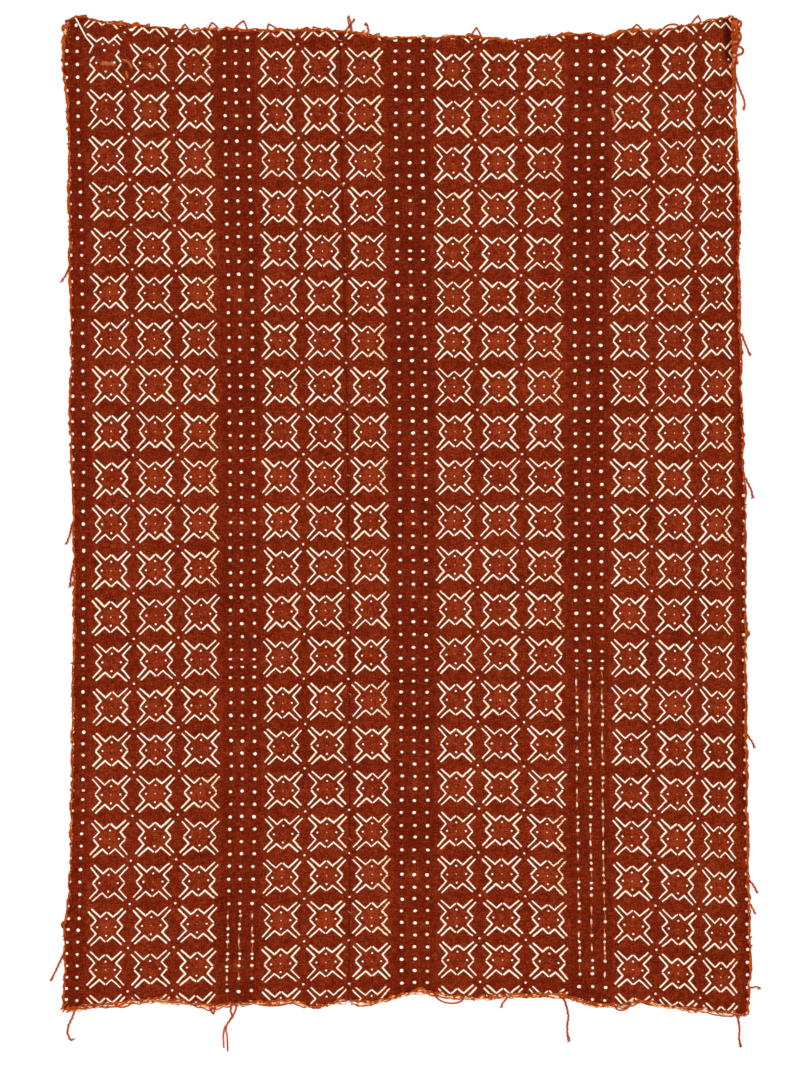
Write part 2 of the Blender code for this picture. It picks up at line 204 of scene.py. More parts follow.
# %% Columns, rows and dots
ROW_HEIGHTS = (706.6, 564.2, 427.3, 292.4, 154.8, 18.8, -116.7, -254.3, -387.1, -519.3, -650.5)
KNOT_HEIGHTS = ROW_HEIGHTS[::2][:5] + (ROW_HEIGHTS[-1],)
StarColumn = namedtuple("StarColumn", "places bows")
STAR_COLUMNS = [StarColumn(*row) for row in (
    ((-448.1, -441.1, -438.2, -439.2, -438.8, -447.5), (9.8, 8.1, -0.5, -10.2, -9.7, -13.5)),
    ((-380.1, -374.6, -372.0, -371.3, -371.1, -380.1), (6.7, 7.6, -0.5, -7.5, -8.1, -11.8)),
    ((-312.6, -307.8, -303.4, -302.8, -302.6, -309.9), (5.4, 5.6, 0.7, -5.4, -7.0, -9.3)),
    ((-188.2, -182.7, -180.9, -179.2, -177.5, -181.3), (1.1, 1.8, -0.1, -1.6, -4.1, -2.8)),
    ((-123.7, -117.2, -114.5, -112.8, -111.1, -112.6), (2.1, 1.7, 0.0, -0.7, -1.6, -1.1)),
    ((-54.4, -50.2, -45.7, -44.3, -41.8, -42.5), (2.5, 1.4, -0.1, 0.2, 0.7, 0.5)),
    ((80.6, 80.4, 83.7, 83.3, 85.3, 86.3), (-2.5, -1.3, -0.2, 1.5, 1.9, 1.4)),
    ((150.1, 148.9, 151.6, 151.4, 153.5, 156.4), (-2.7, -0.7, -0.4, 1.3, 1.0, 2.5)),
    ((220.1, 219.0, 220.1, 221.1, 223.5, 226.5), (-1.2, -2.1, 0.1, 0.2, -0.6, -0.4)),
    ((354.1, 347.9, 348.9, 349.5, 351.0, 354.9), (4.3, 3.4, -2.2, -4.1, -6.1, -12.0)),
    ((424.7, 417.5, 417.4, 417.5, 421.3, 423.1), (7.8, 4.5, -2.7, -6.2, -8.6, -18.0)),
    ((486.7, 481.0, 482.4, 481.8, 484.3, 488.0), (13.8, 7.4, -2.0, -7.8, -12.7, -24.4)),
)]
MIDDLES = [column.places[1] for column in STAR_COLUMNS]
GROUP = 3
HALF_STAR = 33.4
DOT_STEP = 10
DOT_PITCH = 19.15
DotGroup = namedtuple("DotGroup", "dots rows")
DOT_GROUPS = [
    DotGroup((-499.8, -483.7), [
        (0, 753), (9, 575), (14, 481), (24, 285), (34, 93), (40, -25), (41, -54), (42, -78),
        (48, -188), (49, -201), (54, -302), (59, -391), (60, -404), (64, -475), (74, -657),
        (77, -709)]),
    DotGroup((-261.9, -244.6, -225.6), [
        (0, 753), (9, 577), (15, 470), (25, 279), (35, 93), (45, -97), (49, -177), (50, -191),
        (51, -203), (52, -218), (60, -373), (70, -563), (77, -695)]),
    DotGroup((-4.4, 15.8, 35.7), [
        (0, 749), (2, 718), (5, 659), (17, 429), (18, 417), (24, 299), (33, 135), (35, 107),
        (45, -77), (50, -173), (55, -258), (65, -443), (70, -537), (79, -701)]),
    DotGroup((265.4, 285.3, 304.8), [
        (0, 753), (7, 609), (15, 460), (25, 267), (35, 75), (45, -121), (48, -179), (49, -194),
        (50, -204), (53, -270), (60, -411), (70, -610), (75, -709)]),
]
RIGHT_DOTS = 521.4
RIGHT_DOTS_TOP = 900.0
DOT_MARGIN = 9.0
LIFT = [(725.5, 0.0), (727.5, 13.5), (749.0, 13.5), (755.0, 11.0), (785.0, 9.5)]
LIFT_REACH = 36.0
LIFT_ASIDE = 0.33
LAST_STAR_CUT = 4.0
MARGIN = 60.0


def drift_at(x, y, table):
    """A value known for each star column at the knot heights, read at any place."""
    reads = np.array([np.interp(x, MIDDLES, values) for values in zip(*table)])
    step = np.interp(-y, [-height for height in KNOT_HEIGHTS], range(len(KNOT_HEIGHTS)))
    above = np.clip(step.astype(int), 0, len(KNOT_HEIGHTS) - 2)
    share = step - above
    point = np.arange(len(x))
    return reads[above, point] * (1.0 - share) + reads[above + 1, point] * share


def straightened(x, y):
    """The place that a point would have if columns and rows were straight."""
    shifts = [[place - column.places[1] for place in column.places] for column in STAR_COLUMNS]
    return x - drift_at(x, y, shifts), y - drift_at(x, y, [column.bows for column in STAR_COLUMNS])


def star_coordinates(x, y):
    """Unit squares with a star in each; every fourth column of squares is a band of dots."""
    x, y = straightened(x, y)
    keys, squares = [], []
    for number, middle in enumerate(MIDDLES):
        group, member = divmod(number, GROUP)
        square = group * (GROUP + 1) + member + 1
        if member == 0:
            keys.append(middle - HALF_STAR)
            squares.append(square)
        keys.append(middle)
        squares.append(square + 0.5)
        if member == GROUP - 1:
            keys.append(middle + HALF_STAR - (LAST_STAR_CUT if group == 3 else 0.0))
            squares.append(square + 1)
    keys = [keys[0] - MARGIN] + keys + [keys[-1] + MARGIN]
    squares = [squares[0] - 1] + squares + [squares[-1] + 1]
    lifted = np.interp(y, [row[0] for row in LIFT], [row[1] for row in LIFT])
    lifted = lifted * np.exp(-(((x - MIDDLES[0]) / LIFT_REACH) ** 12))
    x = x + lifted * LIFT_ASIDE
    heights = (ROW_HEIGHTS[0] + 142.0,) + ROW_HEIGHTS + (ROW_HEIGHTS[-1] - 131.0,)
    rows = 2.0 * np.arange(len(heights)) + 0.5
    row = np.interp(lifted - y, [-height for height in heights], rows)
    return np.interp(x, keys, squares), row


def dot_coordinates(x, y):
    """Unit squares with a dot in each, counted anew from each tenth column."""
    straight = straightened(x, y)[0]
    keys, squares, rows = [], [], np.zeros_like(x)
    for number, group in enumerate(DOT_GROUPS):
        first = number * DOT_STEP + GROUP - len(group.dots)
        count = len(group.dots)
        keys += [group.dots[0] - DOT_MARGIN, *group.dots, group.dots[-1] + DOT_MARGIN]
        squares += [first, *(first + n + 0.5 for n in range(count)), first + count]
        table = [(group.rows[0][0] - 3, group.rows[0][1] + 3 * DOT_PITCH)] + group.rows
        table = table + [(table[-1][0] + 3, table[-1][1] - 3 * DOT_PITCH)]
        row = np.interp(-y, [-height for _, height in table], [number for number, _ in table])
        rows = np.where(np.abs(straight - sum(group.dots) / count) < MARGIN, row, rows)
    keys += [RIGHT_DOTS - DOT_MARGIN, RIGHT_DOTS, RIGHT_DOTS + DOT_MARGIN]
    squares += [len(DOT_GROUPS) * DOT_STEP + half for half in (0.0, 0.5, 1.0)]
    rows = np.where(straight > RIGHT_DOTS - 40.0, (RIGHT_DOTS_TOP - y) / DOT_PITCH, rows)
    return np.interp(straight, keys, squares), rows + 5.5


sample = star_coordinates(np.array([-500.0, 0.0, 520.0]), np.zeros(3))[0]
print("squares across:", np.round(sample, 2))


# %% [markdown]
# ## Arithmetic for shaders
# A shader is a sum written with nodes. One small class wraps a socket, so that a formula reads as
# a formula, and its one method `node` adds any other node: its settings first, then its sockets.

# %% A socket that can be calculated with
class Wire:
    """An output socket of a shader, for use in ordinary arithmetic."""

    def __init__(self, tree, socket):
        self.tree, self.socket = tree, socket

    def node(self, kind, settings, *values, out=0, **named):
        """Any other node, with values or wires for its sockets, in order or by name."""
        made = self.tree.nodes.new("ShaderNode" + kind)
        for key, value in settings.items():
            setattr(made, key, value)
        sockets = [socket for socket in made.inputs if socket.enabled]
        names = {socket.name: socket for socket in sockets}
        pairs = list(zip(sockets, values))
        pairs += [(names[key.replace("_", " ")], value) for key, value in named.items()]
        for socket, value in pairs:
            if isinstance(value, Wire):
                self.tree.links.new(value.socket, socket)
            else:
                socket.default_value = value
        return Wire(self.tree, [socket for socket in made.outputs if socket.enabled][out])

    def maths(self, operation, *values):
        """This number put through an operation, with any further values."""
        return self.node("Math", {"operation": operation}, self, *values)

    def __add__(self, other):
        return self.maths("ADD", other)

    def __sub__(self, other):
        return self.maths("SUBTRACT", other)

    def __rsub__(self, other):
        return self.node("Math", {"operation": "SUBTRACT"}, other, self)

    def __mul__(self, other):
        return self.maths("MULTIPLY", other)

    def __truediv__(self, other):
        return self.maths("DIVIDE", other)

    def __rtruediv__(self, other):
        return self.node("Math", {"operation": "DIVIDE"}, other, self)

    def __abs__(self):
        return self.maths("ABSOLUTE")

    def __lt__(self, other):
        return self.maths("LESS_THAN", other)

    def __gt__(self, other):
        return self.maths("GREATER_THAN", other)

    __radd__ = __add__
    __rmul__ = __mul__

    def floor(self):
        return self.maths("FLOOR")

    def least(self, other):
        return self.maths("MINIMUM", other)

    def most(self, other):
        return self.maths("MAXIMUM", other)

    def rise(self, low, high):
        """A smooth step from nothing at low to one at high, which may lie below low."""
        settings = {"interpolation_type": "SMOOTHSTEP"}
        return self.node("MapRange", settings, self, low, high, 0.0, 1.0)

    def parts(self):
        """The three numbers of a vector."""
        return [self.node("SeparateXYZ", {}, self, out=n) for n in range(3)]

    def centred(self):
        """The three numbers of a vector, each less a half."""
        return [part - 0.5 for part in self.parts()]

    def vector(self, operation, *values, out=0):
        return self.node("VectorMath", {"operation": operation}, self, *values, out=out)

    def joined(self, x, y, z=0.0):
        """A vector of three numbers."""
        return self.node("CombineXYZ", {}, x, y, z)

    def noise(self, scale, detail=2.0, rough=0.5, out=0):
        """Soft noise at this place: one number, or a vector from its second output."""
        values = {"Vector": self, "Scale": scale, "Detail": detail, "Roughness": rough}
        return self.node("TexNoise", {}, out=out, **values)

    def stretched(self, across, along, detail=2.0, rough=0.5):
        """Soft noise with a scale for each direction."""
        return self.vector("MULTIPLY", (across, along, 1.0)).noise(1.0, detail, rough)

    def chance(self, out=0):
        """Random numbers that stay the same wherever this vector does."""
        return self.node("TexWhiteNoise", {}, Vector=self, out=out)

    def mixed(self, one, other):
        """The colour between two colours that this number picks."""
        settings = {"data_type": "RGBA"}
        return self.node("Mix", settings, Factor=self, A=one, B=other)


def start_finish(name, roughness=0.95, gloss=0.02):
    """A new dull material with its shader and a wire to start from."""
    material = bpy.data.materials.new(name)
    material.use_nodes = True
    tree = material.node_tree
    shader = tree.nodes["Principled BSDF"]
    shader.inputs["Roughness"].default_value = roughness
    shader.inputs["Specular IOR Level"].default_value = gloss
    return material, shader, Wire(tree, None)


def join(wire, shader, socket):
    """Feed one socket of the shader."""
    wire.tree.links.new(wire.socket, shader.inputs[socket])


def join_bump(height, shader, strength, distance):
    """Let a height move the light on the surface."""
    bump = height.node("Bump", {}, Strength=strength, Distance=distance, Height=height)
    join(bump, shader, "Normal")


print("wires ready")


# %% [markdown]
# ## The painted finish
# One quarter of a star is four brush strokes. Folding the coordinates with an absolute value
# mirrors it to the whole figure, a point's distance to the strokes says how much paint it has, and
# random numbers for each square keep any two stars from being quite alike. Under the figures lies
# the mud brown, mottled by the weave and darker between the stars and in the bands of dots. Painted
# highlights lie along the fold at the top-left corner, with one bright hook line nearer the top
# right, and a painted shadow lies beside the turned edge at the top right. CREASES are the strokes
# of the first star where the cloth is folded, and HIDDEN are the places where that fold hides the
# regular figure.

# %% Painted cloth
CELL_WIDTH = 67.2
CELL_HEIGHT = 68.4
STROKES = [
    (1.6, 22.6, 9.6, 15.4),
    (9.6, 15.4, 23.0, 27.8),
    (23.6, 1.4, 16.1, 10.3),
    (16.1, 10.3, 27.8, 23.6),
]
STROKE_HALF = 1.0
INNER_DOTS = [(0.0, 13.2), (14.1, 0.0)]
INNER_DOT = 1.45
CORNER_DOT = 1.62
BAND_DOT = 2.25
YARN_PITCH = 0.0014

BROWN = (0.187, 0.0168, 0.0037, 1.0)
DEEP_BROWN = (0.105, 0.0070, 0.0016, 1.0)
ORANGE = (0.33, 0.043, 0.0105, 1.0)
CREAM = (1.0, 0.93, 0.80, 1.0)
PAINT_EDGE = (0.72, 0.31, 0.10, 1.0)
YELLOWISH = (0.92, 0.66, 0.36, 1.0)
TAN = (0.66, 0.30, 0.13, 1.0)
RIM = (0.46, 0.12, 0.033, 1.0)
# Painted highlight: its colour, and strokes of light where the fold at the top-left corner catches
# the lamp. The last stroke is a bright hook line nearer the top right.
HIGHLIGHT_ORANGE = (0.80, 0.23, 0.080, 1.0)
PAINTED_HIGHLIGHTS = [
    (-362.5, 715.2, -343.5, 713.6), (-329.6, 718.7, -321.4, 715.9), (-321.4, 715.9, -316.9, 707.6),
    (-326.0, 701.5, -324.5, 693.9), (-293.3, 712.1, -284.9, 707.6), (411.5, 645.0, 417.0, 627.0),
]
# Painted shadow: the line beside the turned edge at the top-right corner along which shade is
# painted, and the colour of that shade.
SHADOW_LINE = (590.0, 785.0, 589.5, 724.0)
SHADE = (0.030, 0.0022, 0.0008, 1.0)
Mark = namedtuple("Mark", "x1 y1 x2 y2 half")
CREASES = [Mark(*row) for row in (
    (-402.2, 785.1, -384.8, 753.2, 0.9), (-384.8, 753.2, -374.1, 739.5, 0.9),
    (-374.1, 739.5, -380.2, 730.4, 0.8), (-342.7, 751.4, -335.4, 743.3, 0.9),
    (-338.4, 756.0, -332.3, 750.1, 0.9), (-358.9, 733.4, -358.3, 733.4, 1.5),
)]
HIDDEN = [Mark(*row) for row in (
    (-385.0, 733.0, -346.0, 733.0, 8.0), (-341.0, 744.0, -332.0, 754.5, 3.5),
    (-377.0, 740.5, -389.0, 754.0, 2.8), (-337.0, 740.0, -325.0, 739.5, 3.0),
)]
SMEARED = [(10.0, 75.5, 81.5), (30.0, 54.5, 79.0)]
STAR_SLIP = 1.6
ARM_SLIP = 1.2
DOT_SLIP = 1.8
HAND_SHAKE = 1.7
STAR_TURN = 0.04
DOT_ACROSS = 18.6
SOFT_DOT = (0.25, -0.3)


def stroke_distance(point, stroke):
    """How far a point lies from one straight brush stroke."""
    start = Vector((stroke[0], stroke[1], 0.0))
    run = Vector((stroke[2], stroke[3], 0.0)) - start
    away = point.vector("SUBTRACT", start)
    share = away.vector("DOT_PRODUCT", run / run.length_squared)
    share = share.most(0.0).least(1.0)
    nearest = point.node("VectorMath", {"operation": "SCALE"}, Vector=tuple(run), Scale=share)
    return away.vector("DISTANCE", nearest)


def woven(cloth):
    """Yarns that pass over and under one another: a wave in both directions."""
    x, y, _ = cloth.parts()
    turn = 2.0 * math.pi / YARN_PITCH
    return (x * turn).maths("SINE") * (y * turn).maths("SINE")


def painted_finish():
    """Mud cloth with its stars and dots."""
    material, shader, wire = start_finish("painted_cloth", roughness=0.93)
    cloth = wire.node("UVMap", {"uv_map": "weave"})
    square_x, square_y, _ = wire.node("UVMap", {"uv_map": "stars"}).parts()
    dot_x, dot_y, _ = wire.node("UVMap", {"uv_map": "dots"}).parts()

    column, row = square_x.floor(), square_y.floor()
    member = column.maths("MODULO", 4.0)
    band = member < 0.5
    here = wire.joined(column, row)
    slip_x, slip_y, lean = here.chance(out=1).centred()
    shake_x, shake_y, _ = cloth.noise(140.0, 2.0, out=1).centred()
    x = (square_x - column - 0.5) * CELL_WIDTH + slip_x * STAR_SLIP + shake_x * HAND_SHAKE
    y = (square_y - row - 0.5) * CELL_HEIGHT + slip_y * STAR_SLIP + shake_y * HAND_SHAKE
    turned_x = x + y * lean * STAR_TURN
    turned_y = y - x * lean * STAR_TURN

    arm = wire.joined(column + (turned_x > 0.0) * 0.37, row + (turned_y > 0.0) * 0.61, 0.5)
    arm_x, arm_y, arm_size = arm.chance(out=1).centred()
    point = wire.joined(abs(turned_x) + arm_x * ARM_SLIP, abs(turned_y) + arm_y * ARM_SLIP)
    distances = [stroke_distance(point, stroke) for stroke in STROKES]
    stroke = distances[0]
    for other in distances[1:]:
        stroke = stroke.least(other)
    fibre = cloth.noise(700.0, 2.0)
    load = cloth.noise(60.0, 2.0)
    rough = (member > 2.5) * (turned_x > 6.0) * here.chance().rise(0.45, 0.75)
    frayed = cloth.noise(420.0, 1.0) - 0.5
    half = STROKE_HALF + arm_size * 0.4 + (fibre - 0.5) * 0.6 + (load - 0.5) * 0.5
    half = half + rough * frayed * 3.5
    line = (stroke - half).rise(0.22, -0.28) * (1.0 - band)

    steady = wire.joined(abs(turned_x), abs(turned_y))
    uneven = (fibre - 0.5) * 0.5
    spots = []
    for spot in INNER_DOTS:
        away = steady.vector("DISTANCE", (spot[0], spot[1], 0.0))
        spots.append((away - INNER_DOT - uneven).rise(*SOFT_DOT))
    middle = steady.vector("LENGTH")
    seen = here.chance().rise(0.2, 0.9)
    spots.append((middle - 0.9 - (fibre - 0.5) * 1.6).rise(0.6, -0.6) * (0.25 + seen * 0.45))
    corner_column, corner_row = (square_x + 0.5).floor(), (square_y + 0.5).floor()
    corner_id = wire.joined(corner_column, corner_row, 0.9)
    nudge_x, nudge_y, _ = corner_id.chance(out=1).centred()
    corner_x = (square_x - corner_column) * CELL_WIDTH + nudge_x * DOT_SLIP + shake_x * HAND_SHAKE
    corner_y = (square_y - corner_row) * CELL_HEIGHT + nudge_y * DOT_SLIP + shake_y * HAND_SHAKE
    corner = wire.joined(corner_x, corner_y).vector("LENGTH")
    has_dot = corner_column.maths("MODULO", 4.0) > 1.5
    spots.append((corner - CORNER_DOT - uneven).rise(*SOFT_DOT) * has_dot)
    figure = line
    for spot in spots:
        figure = figure.most(spot * (1.0 - band))

    dot_column, dot_row = dot_x.floor(), dot_y.floor()
    dot_id = wire.joined(dot_column, dot_row, 0.25)
    jump_x, jump_y, grow = dot_id.chance(out=1).centred()
    smears = [
        (dot_column > first - 0.5) * (dot_column < first + 2.5) * (dot_row > low) * (dot_row < high)
        for first, low, high in SMEARED
    ]
    smear = smears[0].most(smears[1]) * band
    long_dot = smear * jump_x.rise(0.12, 0.2)
    across = (dot_x - dot_column - 0.5) * DOT_ACROSS + jump_x * DOT_SLIP + shake_x * 2.0
    down = (dot_y - dot_row - 0.5) * DOT_PITCH + jump_y * 1.6 + shake_y * 2.0
    size = BAND_DOT + grow * 0.6 + (fibre - 0.5) * 0.9 - smear * 0.3
    narrowed = across * (0.94 + long_dot * 0.7)
    dot = wire.joined(narrowed, down * 1.06 / (1.0 + long_dot)).vector("LENGTH")
    is_dot = dot_column.maths("MODULO", float(DOT_STEP)) < 2.5
    dots = (dot - size).rise(*SOFT_DOT) * is_dot * band
    between = (dot_y + 0.5).floor()
    later_x, later_y, later = wire.joined(dot_column, between, 0.75).chance(out=1).parts()
    later_down = (dot_y - between) * DOT_PITCH + (later_y - 0.5) * 6.0
    late_dot = wire.joined(across + later_x - 0.5, later_down * 0.8).vector("LENGTH")
    late_dot = (late_dot - 1.2 - fibre * 0.9).rise(0.4, -0.4)
    dots = dots.most(late_dot * smear * is_dot * (later > 0.6))
    broken = cloth.stretched(300.0, 90.0).rise(0.50, 0.60)
    streak = (abs(across) - fibre * 1.4).rise(0.8, -0.5) * smear * is_dot * broken
    dots = dots.most(streak * 0.34)
    figure = figure.most(dots)

    near_stroke = stroke.rise(6.0, 1.2) * (1.0 - band)
    near_dot = dot.rise(7.5, 2.5) * is_dot * band
    ring = near_stroke.most(near_dot)
    reach = wire.joined(x, y).vector("LENGTH")
    centre = reach.rise(27.0, 6.0) * (1.0 - band)

    along = cloth.stretched(110.0, 520.0, 2.0, 0.6) - 0.5
    upright = cloth.stretched(520.0, 80.0, 2.0, 0.6) - 0.5
    grain = cloth.noise(430.0, 1.0) - 0.5
    cloud = cloth.noise(7.0, 3.0, 0.6) - 0.5
    blotch = cloth.noise(34.0, 3.0, 0.65) - 0.5
    glow = here.chance().rise(0.35, 1.0) * reach.rise(18.0, 2.0) * grain.rise(-0.2, 0.1)
    patch = cloth.stretched(95.0, 130.0, 3.0, 0.6) - 0.5
    weave = grain * 1.9 + along * 1.7 + upright * 1.5 + patch * 1.2
    tone = weave + cloud * 0.6 + blotch * 0.8 + centre * 0.20
    tone = tone - band * 0.14 - ring * 0.06 + glow * 0.55
    brown = tone.rise(-0.62, 0.16).mixed(DEEP_BROWN, BROWN)
    ground = tone.rise(-0.02, 0.75).mixed(brown, ORANGE)
    weave_x, weave_y, _ = cloth.parts()
    seam = abs(weave_x).rise(0.0016, 0.0003)
    ground = (seam * 0.5).mixed(ground, DEEP_BROWN)

    picture = wire.joined(weave_x * 1000.0, weave_y * 1000.0)
    # open_cloth is one, and falls to nought where the fold hides the regular figure
    open_cloth = 1.0
    for mark in HIDDEN:
        open_cloth = (stroke_distance(picture, mark) - mark.half).rise(-0.6, 0.6) * open_cloth
    figure = figure * open_cloth
    for mark in CREASES:
        away = stroke_distance(picture, mark) - mark.half
        figure = figure.most((away - (fibre - 0.5) * 0.8).rise(0.4, -0.4))

    # Painted highlights on the fold at the top-left corner, and the bright hook line further right.
    painted_highlight = stroke_distance(picture, PAINTED_HIGHLIGHTS[0]).rise(4.2, 0.4)
    for mark in PAINTED_HIGHLIGHTS[1:]:
        painted_highlight = painted_highlight.most(stroke_distance(picture, mark).rise(2.6, 0.2))
    ground = (painted_highlight * (0.55 + grain * 2.4)).most(0.0).least(1.0).mixed(ground, HIGHLIGHT_ORANGE)
    # Painted shadow on the face beside the turned edge at the top right.
    painted_shadow = stroke_distance(picture, SHADOW_LINE).rise(13.0, 1.5)
    ground = (painted_shadow * 0.85).mixed(ground, SHADE)
    rim = (stroke - half).rise(1.5, 0.1) * (1.0 - band)
    rim = rim.most((dot - BAND_DOT).rise(1.5, 0.1) * is_dot * band * 0.7)
    ground = (rim * open_cloth * 0.75).mixed(ground, RIM)
    golden = (arm_size.rise(0.2, 0.5) * load.rise(0.45, 0.62) * 0.6).most(rough * 0.55)
    # The smeared dots are worn paint. The painted shadow beside the turned edge also dulls the
    # figures there to tan.
    worn_and_shaded = (streak * 0.8 + long_dot * band * 0.35 + painted_shadow * 0.5).least(1.0)
    paint = worn_and_shaded.mixed(golden.mixed(CREAM, YELLOWISH), TAN)
    thickness = (figure * (1.0 + (fibre - 0.5) * 0.4)).least(1.0).most(0.0)
    edged = thickness.rise(0.0, 0.6).mixed(ground, PAINT_EDGE)
    join(thickness.rise(0.2, 0.85).mixed(edged, paint), shader, "Base Color")

    slub = cloth.stretched(120.0, 1400.0)
    join_bump(woven(cloth) * 0.5 + slub * 0.7 + figure * 0.15, shader, 0.45, 0.0005)
    return material


painted = painted_finish()
print("painted cloth:", len(painted.node_tree.nodes), "nodes")


# %% [markdown]
# ## The plain finishes
# The underside never met the brush, so it shows the dye alone. The yarns of the edges are the same
# cotton, rusty orange, and bits of the cream figures show where an end of the cloth is rolled.

# %% Underside and yarn
HEM_LIGHT = (0.52, 0.085, 0.013, 1.0)
HEM_DEEP = (0.11, 0.0085, 0.002, 1.0)
TURNED_LIGHT = (0.68, 0.13, 0.022, 1.0)
TURNED_DEEP = (0.20, 0.019, 0.003, 1.0)
UNDERSIDE = (0.44, 0.085, 0.019, 1.0)
UNDERSIDE_DEEP = (0.17, 0.018, 0.004, 1.0)
YARN_LIGHT = (0.70, 0.115, 0.006, 1.0)
YARN_DEEP = (0.25, 0.020, 0.001, 1.0)
GOLDEN_LIGHT = (0.95, 0.66, 0.36, 1.0)
GOLDEN_DEEP = (0.30, 0.040, 0.006, 1.0)
STITCH_LIGHT = (0.72, 0.50, 0.33, 1.0)
STITCH_DARK = (0.13, 0.0098, 0.002, 1.0)


def underside_finish():
    """The plain side of the cloth."""
    material, shader, wire = start_finish("cloth_underside", roughness=0.93)
    cloth = wire.node("UVMap", {"uv_map": "weave"})
    cloud = cloth.noise(9.0, 4.0, 0.6)
    along = cloth.stretched(60.0, 900.0, 2.0, 0.6)
    tone = ((cloud - 0.5) * 1.2 + (along - 0.5) * 0.9 + 0.5).rise(0.0, 1.0)
    join(tone.mixed(UNDERSIDE_DEEP, UNDERSIDE), shader, "Base Color")
    join_bump(woven(cloth), shader, 0.45, 0.0005)
    return material


def yarn_finish(name, deep, light):
    """Cotton yarn, mottled along its length."""
    material, shader, wire = start_finish(name)
    spot = wire.node("TexCoord", {}, out=3)
    tone = (spot.noise(90.0, 3.0, 0.6) * 0.8 + spot.noise(700.0, 2.0) * 0.5 - 0.15).rise(0.2, 0.85)
    join(tone.mixed(deep, light), shader, "Base Color")
    join_bump(spot.noise(2600.0, 2.0), shader, 0.5, 0.0004)
    return material


def hem_finish(name, deep, light, showing):
    """Rolled or turned cloth: small turns of orange and brown, with bits of the cream figures."""
    material, shader, wire = start_finish(name)
    spot = wire.node("TexCoord", {}, out=3)
    turns = spot.noise(380.0, 3.0, 0.65)
    long_turns = spot.noise(90.0, 2.0)
    tone = (turns * 0.8 + long_turns * 0.4 - 0.1).rise(0.38, 0.66)
    cotton = tone.mixed(deep, light)
    cream = spot.noise(210.0, 2.0).rise(1.0 - showing, 1.06 - showing)
    join((cream * 0.9).mixed(cotton, GOLDEN_LIGHT), shader, "Base Color")
    join_bump(turns, shader, 0.8, 0.0008)
    return material


underside = underside_finish()
top_hem = hem_finish("rolled_hem", HEM_DEEP, HEM_LIGHT, 0.38)
bottom_hem = hem_finish("rolled_hem_pale", HEM_DEEP, HEM_LIGHT, 0.44)
turned = hem_finish("turned_edge", TURNED_DEEP, TURNED_LIGHT, 0.40)
yarn = yarn_finish("loose_yarn", YARN_DEEP, YARN_LIGHT)
golden_yarn = hem_finish("golden_yarn", GOLDEN_DEEP, YARN_LIGHT, 0.56)
stitch_dark = yarn_finish("stitch_dark", STITCH_DARK, BROWN)
stitch_light = yarn_finish("stitch_light", TAN, STITCH_LIGHT)
print("finishes:", ", ".join(material.name for material in bpy.data.materials))

# %% [markdown]
# ## The two panels
# Each panel starts as a flat grid from the mesh library. Its points are then moved, all at once,
# to their place in the outline, lifted by the folds and by a slight crumple, and given their three
# sheets of coordinates. The outer row is tucked into the rolled edge. A Solidify modifier gives the
# cloth its thickness and a plain underside.

# %% Panels
PANEL_LENGTH = 1490
SPACING = 4.6
TUCK = 2.3
CRUMPLE = [
    (0.013, 0.007, 0.3, 0.45), (-0.009, 0.021, 1.7, 0.35), (0.031, -0.012, 4.1, 0.22),
    (0.006, 0.047, 2.2, 0.16), (0.058, 0.023, 5.0, 0.10), (-0.041, 0.066, 0.9, 0.08),
]
SHARP_FOLDS = [Fold(*row) for row in (
    (-491, 787, -462, 734, 6, 1.6), (-462, 734, -474, 727, 6, 1.2), (-440, 716, -398, 716, 9, 1.6),
    (-424, 722, -412, 700, 6, 1.1), (-408, 714, -402, 696, 5, 0.9),
)]
CRUMPLE_RISE = 0.6


def height_at(x, y):
    """Height of the cloth's underside."""
    waves = (size * (1.0 + np.sin(x * a + y * b + start)) for a, b, start, size in CRUMPLE)
    return folds_at(x, y) + sum(waves) * CRUMPLE_RISE + folds_at(x, y, SHARP_FOLDS)


def grid_mesh(name, columns, rows, size):
    """A flat square grid; size is half its side."""
    shape = bmesh.new()
    bmesh.ops.create_grid(shape, x_segments=columns, y_segments=rows, size=size)
    mesh = bpy.data.meshes.new(name)
    shape.to_mesh(mesh)
    shape.free()
    return mesh


def unit_grid(name, columns, rows):
    """A flat grid over the unit square, and the places of its points."""
    mesh = grid_mesh(name, columns, rows, 0.5)
    spots = np.zeros(len(mesh.vertices) * 3)
    mesh.vertices.foreach_get("co", spots)
    return mesh, spots.reshape(-1, 3)[:, 0] + 0.5, 0.5 - spots.reshape(-1, 3)[:, 1]


def shape_mesh(mesh, x, y, z):
    """Move the points of a mesh to table places, given in millimetres."""
    spots = (np.stack([x, y, z], axis=1) + np.array(PICTURE_MIDDLE)) * MM
    mesh.vertices.foreach_set("co", spots.ravel())
    mesh.update()


def give_uv(mesh, name, u, v):
    """A sheet of coordinates, one pair for each point."""
    corners = np.zeros(len(mesh.loops), dtype=int)
    mesh.loops.foreach_get("vertex_index", corners)
    layer = mesh.uv_layers.new(name=name)
    layer.data.foreach_set("uv", np.stack([u[corners], v[corners]], axis=1).ravel())


def put(name, data):
    """A new object in the scene."""
    thing = bpy.data.objects.new(name, data)
    bpy.context.scene.collection.objects.link(thing)
    return thing


def show(mesh, *materials):
    """An object for a mesh, riding the one body of the cloth."""
    thing = put(mesh.name, mesh)
    for material in materials:
        mesh.materials.append(material)
    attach(thing, "root")
    return thing


def smooth(mesh):
    """Smooth shading over the whole mesh."""
    mesh.polygons.foreach_set("use_smooth", [True] * len(mesh.polygons))


